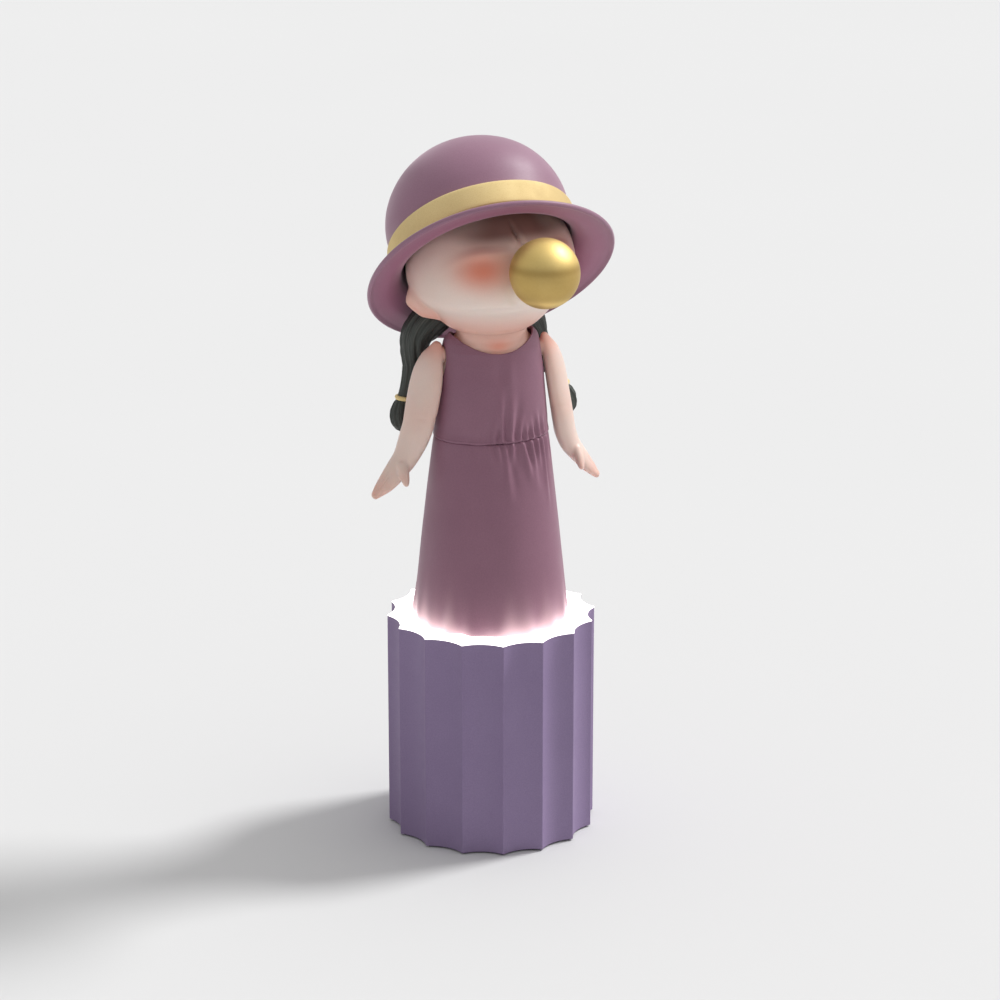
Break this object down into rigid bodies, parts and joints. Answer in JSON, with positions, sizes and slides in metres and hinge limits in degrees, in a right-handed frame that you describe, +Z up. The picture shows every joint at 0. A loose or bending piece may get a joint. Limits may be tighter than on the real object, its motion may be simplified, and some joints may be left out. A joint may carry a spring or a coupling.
{
  "type": "vinyl art toy",
  "caption": "Girl doll in a brimmed hat and long dress blowing a gold bubble, standing on a fluted column with a lit top plate.",
  "frame": {"origin": "centre of the pad under the column, on the floor", "axes": "+Z up, the figure faces -Y, +X is the figure's left"},
  "size_m": [0.1256, 0.1346, 0.3541],
  "materials": {
    "mauve_vinyl": "satin moulded vinyl",
    "gold_paint": "satin metallic gold paint",
    "skin_vinyl": "soft satin vinyl with airbrushed blush",
    "hair_vinyl": "brush-streaked painted vinyl",
    "lavender_paint": "fine-textured matte paint",
    "opal_lit": "opal light-diffusing acrylic, lit from below",
    "white_plastic": "white moulded plastic",
    "steel": "zinc-plated",
    "brass_insert": "turned brass",
    "led_yellow": "phosphor lens, lit",
    "black_plastic": "fine-textured black plastic",
    "pad_rubber": "soft matte pad",
    "cell_wrap": "plain shrink sleeve",
    "board_green": "solder mask",
    "wire_red_pvc": "PVC sleeve",
    "wire_black_pvc": "PVC sleeve"
  },
  "bodies": {
    "base": {"neck_peg": "white_plastic", "upper_body": "skin_vinyl", "bodice": "mauve_vinyl", "waist_band": "mauve_vinyl", "waist_disc": "white_plastic", "skirt": "mauve_vinyl", "shoulder_peg_left": "white_plastic", "shoulder_peg_right": "white_plastic", "core_post": "steel", "figure_foot": "white_plastic", "foot_insert": "brass_insert", "figure_screw": "steel", "diffuser_plate": "opal_lit", "reflector_tray": "white_plastic", "tray_screws": "steel", "led_board": "white_plastic", "led_chips": "led_yellow", "pedestal_shell": "lavender_paint", "base_plate": "black_plastic", "base_screws": "steel", "base_pad": "pad_rubber", "battery_box": "black_plastic", "battery_cells": "cell_wrap", "battery_contacts": "steel", "driver_board": "board_green", "driver_chips": "black_plastic", "switch_body": "steel", "wire_red": "wire_red_pvc", "wire_black": "wire_black_pvc"},
    "head": {"hat_shell": "mauve_vinyl", "hat_band": "gold_paint", "hat_plug": "white_plastic", "head_shell": "skin_vinyl", "hair_cap": "hair_vinyl", "ponytail_left": "hair_vinyl", "ponytail_right": "hair_vinyl", "tail_tie_left": "gold_paint", "tail_tie_right": "gold_paint", "bubble": "gold_paint", "bubble_peg": "gold_paint"},
    "arm_left": {"arm_left": "skin_vinyl"},
    "arm_right": {"arm_right": "skin_vinyl"},
    "battery_door": {"battery_door": "black_plastic"},
    "switch_slider": {"switch_slider": "white_plastic"}
  },
  "joints": [
    {"name": "neck_swivel", "type": "hinge", "parent": "base", "child": "head", "pos_m": [0, 0, 0.262], "axis": [0, 0, 1], "range_deg": [-8, 8]},
    {"name": "shoulder_left", "type": "hinge", "parent": "base", "child": "arm_left", "pos_m": [0.0258, 0, 0.2496], "axis": [-1, 0, 0], "range_deg": [0, 90]},
    {"name": "shoulder_right", "type": "hinge", "parent": "base", "child": "arm_right", "pos_m": [-0.0258, 0, 0.2496], "axis": [-1, 0, 0], "range_deg": [0, 90]},
    {"name": "battery_door_hinge", "type": "hinge", "parent": "base", "child": "battery_door", "pos_m": [0.0199, 0.022, 0.0026], "axis": [1, 0, 0], "range_deg": [0, 95]},
    {"name": "power_slide", "type": "slide", "parent": "base", "child": "switch_slider", "axis": [0, 1, 0], "range_m": [0, 0.003]}
  ]
}
